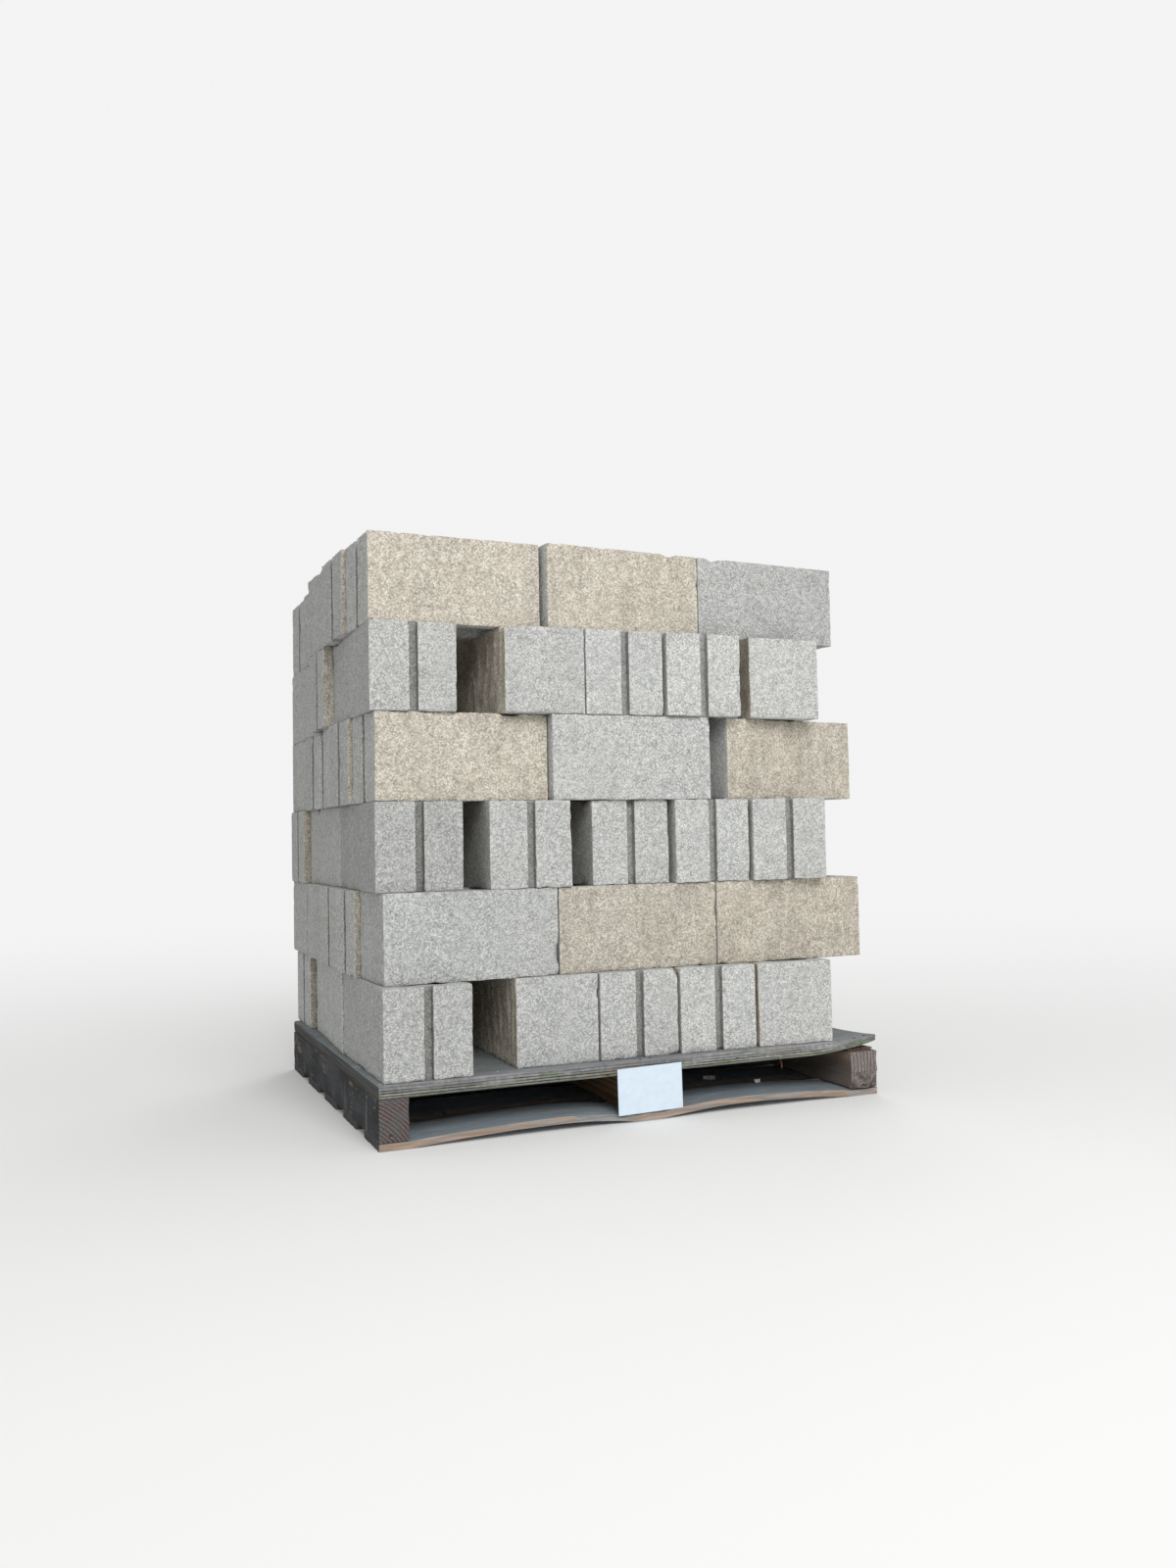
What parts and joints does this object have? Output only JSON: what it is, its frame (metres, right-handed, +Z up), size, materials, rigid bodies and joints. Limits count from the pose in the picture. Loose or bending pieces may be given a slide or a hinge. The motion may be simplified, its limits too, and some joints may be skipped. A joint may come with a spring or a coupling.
{
  "type": "pallet of concrete blocks",
  "caption": "Wooden pallet loaded with six courses of split-face two-core concrete masonry blocks, laid dry as stretchers and headers.",
  "frame": {"origin": "middle of the footprint, on the floor under the bottom boards", "axes": "+Z up through the courses, -Y out of the front face with the fork pockets, +X to the right seen from the front"},
  "size_m": [1.2749, 1.132, 1.2975],
  "materials": {
    "block_concrete": "matte",
    "deck_plywood": "matte",
    "stringer_timber": "matte",
    "board_timber": "matte"
  },
  "bodies": {
    "root": {"course_1": "block_concrete", "course_2": "block_concrete", "course_3": "block_concrete", "course_4": "block_concrete", "course_5": "block_concrete", "course_6": "block_concrete", "deck": "deck_plywood", "stringer_left": "stringer_timber", "stringer_middle": "stringer_timber", "stringer_right": "stringer_timber", "bottom_board_1": "board_timber", "bottom_board_2": "board_timber", "bottom_board_3": "board_timber", "bottom_board_4": "board_timber", "bottom_board_5": "board_timber"}
  },
  "joints": []
}
